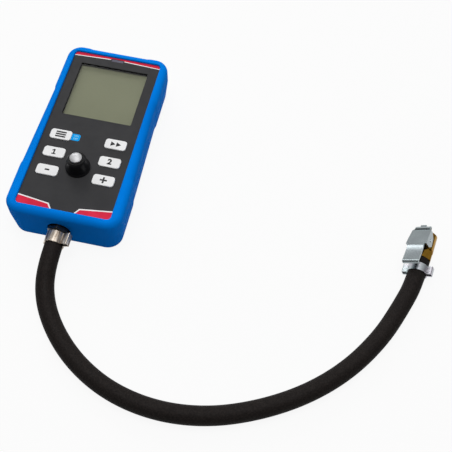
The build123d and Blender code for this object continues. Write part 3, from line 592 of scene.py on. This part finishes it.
# Chuck
# A turned brass body takes the tyre's valve. A lever pressed from zinc plated steel turns on a
# riveted pin above it, and a two-ear clamp of passivated steel holds the hose on its barb.
PIN_ZINC = ((0.46, 0.51, 0.53), (0.52, 0.57, 0.59))
# The lever's zinc is set darker than the pin's: this is painted shade that stands in for the dark look of
# its hood.
LEVER_ZINC_PAINTED_DARK = ((0.335, 0.370, 0.392), (0.352, 0.402, 0.412))
PASSIVATED_ZINC = ((0.50, 0.46, 0.51), (0.45, 0.53, 0.54))
LEVER_EDGE = 0.25 * MM
CHUCK_EDGE = 0.2 * MM
ARC_STEPS = 10
CUT_GAP = 0.001 * MM
STRIP_LOW = 2.0 * MM
lever_turn = next(joint for joint in frame["joints"] if joint["name"] == "lever_turn")
pivot = Vector(lever_turn["pos_m"])
across = Vector(lever_turn["axis"])
along = Vector((0, 0, 1)).cross(across).normalized()
outward = across.cross(along)

# The pressed arcs: start and end along the lever from its pin, and rise, in millimetres.
THUMB_ARC = (-21.0, -7.6, -0.35)
HOOD_ARC = (-5.2, 9.8, 0.25)

# Outlines seen from the lever's side, in millimetres along it and out from its pin.
JAW_FOLD = ((7.3, 2.45), (8.8, 3.65), (9.8, 3.55), (10.9, 2.7), (11.9, 1.6), (7.3, 1.6))
JAW_FOLD_HALF = 5.3
JAW_TONGUE = ((10.2, 1.7), (12.6, 1.5), (12.6, 2.4), (10.2, 2.6))
JAW_TONGUE_HALF = 2.2

zinc_steel = drawn_metal("zinc_steel", PIN_ZINC, roughness=0.3, grain=700, depth=0.0008 * MM)
lever_steel = drawn_metal("lever_steel", LEVER_ZINC_PAINTED_DARK, roughness=0.18, grain=700, depth=0.0004 * MM, patch=60)
passivated_zinc = drawn_metal(
    "passivated_zinc", PASSIVATED_ZINC, roughness=0.3, grain=700, depth=0.0006 * MM, patch=90
)
dress(zinc_steel, "lever_pin")


def crowned(piece, start, end, rise):
    """The strip between two places along the lever, over its cheeks, is pressed to a shallow arc."""
    only(piece)
    bpy.ops.object.mode_set(mode="EDIT")
    for step in range(ARC_STEPS + 1):
        bpy.ops.mesh.select_all(action="SELECT")
        place = pivot + along * (start + (end - start) * step / ARC_STEPS)
        bpy.ops.mesh.bisect(plane_co=place, plane_no=along, threshold=CUT_GAP)
    bpy.ops.object.mode_set(mode="OBJECT")
    for point in piece.data.vertices:
        reach = (point.co - pivot).dot(along)
        part = (2 * reach - start - end) / (end - start)
        if abs(part) < 1 and (point.co - pivot).dot(outward) > STRIP_LOW:
            point.co += outward * rise * (1 - part * part)


def lever_form(name, outline, half):
    """A solid strip across the lever, with this outline seen from its side."""
    form = flat_shape(name, [[(x * MM, y * MM) for x, y in outline]], 2 * half * MM)
    form.matrix_world = Matrix.Translation(pivot) @ Matrix((along, outward, across)).transposed().to_4x4()
    return form


lever = merged_copy("chuck_lever")
for start, end, rise in (THUMB_ARC, HOOD_ARC):
    crowned(lever, start * MM, end * MM, rise * MM)
jaw_fold = lever_form("jaw_fold", JAW_FOLD, JAW_FOLD_HALF)
jaw_tongue = lever_form("jaw_tongue", JAW_TONGUE, JAW_TONGUE_HALF)
only(lever)
jaw_fold.select_set(True)
jaw_tongue.select_set(True)
bpy.ops.object.join()
lever = eased(lever, "chuck_lever", LEVER_EDGE, lever_steel, "lever")
chuck_band = eased(
    merged_copy("chuck_clamp"), "chuck_clamp", CLAMP_EDGE, passivated_zinc, "gauge"
)
chuck = eased(merged_copy("chuck_body"), "chuck_body", CHUCK_EDGE, turned_brass, "gauge")


# Springs
# Two springs of bright drawn wire, one under the bleed button and one under the lever's thumb
# plate. Each stands on its lower end.
WIRE_GREY = ((0.38, 0.39, 0.41), (0.52, 0.53, 0.55))
WIRE_SMOOTH_UNDER = radians(70)

spring_wire = drawn_metal("spring_wire", WIRE_GREY, roughness=0.25)


def pressed_spring(node_name):
    """A smooth copy of the spring of the frame stands for it, on a mesh of its own."""
    piece = merged_copy(node_name)
    bpy.ops.object.shade_smooth_by_angle(angle=WIRE_SMOOTH_UNDER)
    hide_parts(node_name)
    piece = settle(piece, f"{node_name}_coil", spring_wire, "gauge")
    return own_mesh(piece)


pressed_spring("bleed_spring")
lever_coil = pressed_spring("lever_spring")


# Air hose
# A thick rubber hose, black with a hint of brown and finely grained. It is pushed over the barbs
# at both ends, leaves the nut straight, drops to the floor and lies in one wide bend.
HOSE_BLACK = ((0.0112, 0.0094, 0.0089), (0.0188, 0.0153, 0.0141))
HOSE_ROUGHNESS = 0.55
HOSE_POLISH = (-0.07, 0.11)
HOSE_GRAIN_DEPTH = 0.12 * MM
HOSE_RADIUS = 6.5 * MM

# The route from the nut to the chuck, in millimetres.
INLET_X, NUT_END_Y, INLET_Z = -2.8, -82.6, 13.9
HOSE_ROUTE = (
    (INLET_X, NUT_END_Y, INLET_Z),
    (INLET_X, -104.5, INLET_Z),
    (0.4, -126.8, 7.8),
    (14.6, -149.6, 6.5),
    (37.0, -170.0, 6.5),
    (65.0, -184.0, 6.5),
    (97.0, -189.6, 6.5),
    (129.5, -186.4, 6.5),
    (161.0, -175.0, 6.5),
    (190.5, -157.6, 6.5),
    (215.2, -134.8, 6.5),
    (234.0, -107.5, 6.5),
    (245.2, -82.0, 6.9),
    (252.4, -62.3, 7.5),
    (255.7, -42.8, 7.5),
)


def hose_rubber():
    """Dull black rubber with a fine uneven grain, as a vulcanised skin has."""
    material, tree, shader = new_finish("hose_rubber", HOSE_ROUGHNESS, gloss=0.05)
    tint(tree, shader, cloud(tree, scale=900), HOSE_BLACK)
    polish(tree, shader, cloud(tree, scale=300), HOSE_ROUGHNESS, HOSE_POLISH)
    relief(tree, shader, cloud(tree, scale=800, detail=4.0), HOSE_GRAIN_DEPTH)
    return material


hose_line = bpy.data.curves.new("hose", "CURVE")
hose_line.dimensions = "3D"
hose_line.bevel_depth = HOSE_RADIUS
hose_line.bevel_resolution = 12
hose_line.resolution_u = 16
hose_line.use_fill_caps = True
route = hose_line.splines.new("NURBS")
route.points.add(len(HOSE_ROUTE) - 1)
for point, place in zip(route.points, HOSE_ROUTE):
    point.co = (*(MM * value for value in place), 1)
route.order_u = 3
route.use_endpoint_u = True
hose = bpy.data.objects.new("hose", hose_line)
bpy.context.scene.collection.objects.link(hose)
hose_line.materials.append(hose_rubber())
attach(hose, "gauge")
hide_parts("air_hose")


# Studio
# A pale floor that shows almost white to the camera. A soft lamp hangs above the gauge, another
# behind it and a small low one behind on the left, under a sky that is brightest at the back.
WHITE = (1, 1, 1, 1)
FLOOR_SIZE = 10.0
FLOOR_MIDDLE = (0.1, 0, -0.3 * MM)
FLOOR_TINT = (0.68, 0.68, 0.68)
FLOOR_ROUGHNESS = 0.9
FLOOR_GLOW = 0.91
SKY_BRIGHT_SIDE = (-0.15, 0.72, 0.68)
SKY_LEVELS = (0.10, 0.75)
GAUGE_AIM = (0.05, -0.05, 0)
CHUCK_AIM = (0.25, -0.05, 0)
LAMPS = (
    ("top_lamp", (0.1, 0.0, 1.35), GAUGE_AIM, 0.7, 9),
    ("back_lamp", (-0.55, 1.45, 1.05), GAUGE_AIM, 0.6, 6),
    ("side_lamp", (-0.65, 0.66, 0.50), CHUCK_AIM, 0.25, 0.7),
)
CAMERA_AT = (0.15267, -0.31739, 0.48474)
CAMERA_TURN = (29.860, -1.896, 11.672)
CAMERA_LENS = 59.7345
CAMERA_SENSOR = 36


def floor_paper():
    """Pale paper that takes light and shadow, and glows for the camera and in reflections."""
    material, tree, shader = new_finish("paper", FLOOR_ROUGHNESS)
    shader.inputs["Base Color"].default_value = (*FLOOR_TINT, 1)
    glow = tree.nodes.new("ShaderNodeEmission")
    path = tree.nodes.new("ShaderNodeLightPath")
    mirrored = combined(tree, "MAXIMUM", path.outputs["Is Glossy Ray"], path.outputs["Is Transmission Ray"])
    seen = combined(tree, "MAXIMUM", path.outputs["Is Camera Ray"], mirrored)
    share = combined(tree, "MULTIPLY", seen, FLOOR_GLOW)
    mixed(tree, share, shader.outputs["BSDF"], glow.outputs["Emission"], "Material Output")
    return material


def soft_sky():
    """A sky that lights more from behind, and that shows plain white to the camera."""
    world = bpy.data.worlds.new("sky")
    world.use_nodes = True
    tree = world.node_tree
    sky = tree.nodes["Background"]
    backdrop = tree.nodes.new("ShaderNodeBackground")
    for background in (sky, backdrop):
        background.inputs["Color"].default_value = WHITE
    direction = tree.nodes.new("ShaderNodeTexCoord")
    facing = tree.nodes.new("ShaderNodeVectorMath")
    facing.operation = "DOT_PRODUCT"
    facing.inputs[1].default_value = SKY_BRIGHT_SIDE
    level = tree.nodes.new("ShaderNodeMapRange")
    level.interpolation_type = "SMOOTHSTEP"
    level.inputs["To Min"].default_value = SKY_LEVELS[0]
    level.inputs["To Max"].default_value = SKY_LEVELS[1]
    tree.links.new(direction.outputs["Generated"], facing.inputs[0])
    tree.links.new(facing.outputs["Value"], level.inputs["Value"])
    tree.links.new(level.outputs["Result"], sky.inputs["Strength"])
    path = tree.nodes.new("ShaderNodeLightPath")
    camera_ray = path.outputs["Is Camera Ray"]
    mixed(tree, camera_ray, sky.outputs["Background"], backdrop.outputs["Background"], "World Output")
    return world


bpy.ops.object.select_all(action="DESELECT")
bpy.ops.mesh.primitive_plane_add(size=FLOOR_SIZE, location=FLOOR_MIDDLE)
floor = bpy.context.object
floor.name = "floor"
floor.data.materials.append(floor_paper())
bpy.context.scene.world = soft_sky()

for name, place, aim, size, power in LAMPS:
    light = bpy.data.lights.new(name, "AREA")
    light.energy = power
    light.size = size
    lamp = bpy.data.objects.new(name, light)
    bpy.context.scene.collection.objects.link(lamp)
    lamp.location = place
    lamp.rotation_euler = (Vector(aim) - Vector(place)).to_track_quat("-Z", "Y").to_euler()

camera_data = bpy.data.cameras.new("camera")
camera_data.lens = CAMERA_LENS
camera_data.sensor_width = CAMERA_SENSOR
camera = bpy.data.objects.new("camera", camera_data)
bpy.context.scene.collection.objects.link(camera)
camera.location = CAMERA_AT
camera.rotation_euler = Euler([radians(turn) for turn in CAMERA_TURN])
bpy.context.scene.camera = camera
bpy.context.scene.view_settings.view_transform = "Standard"
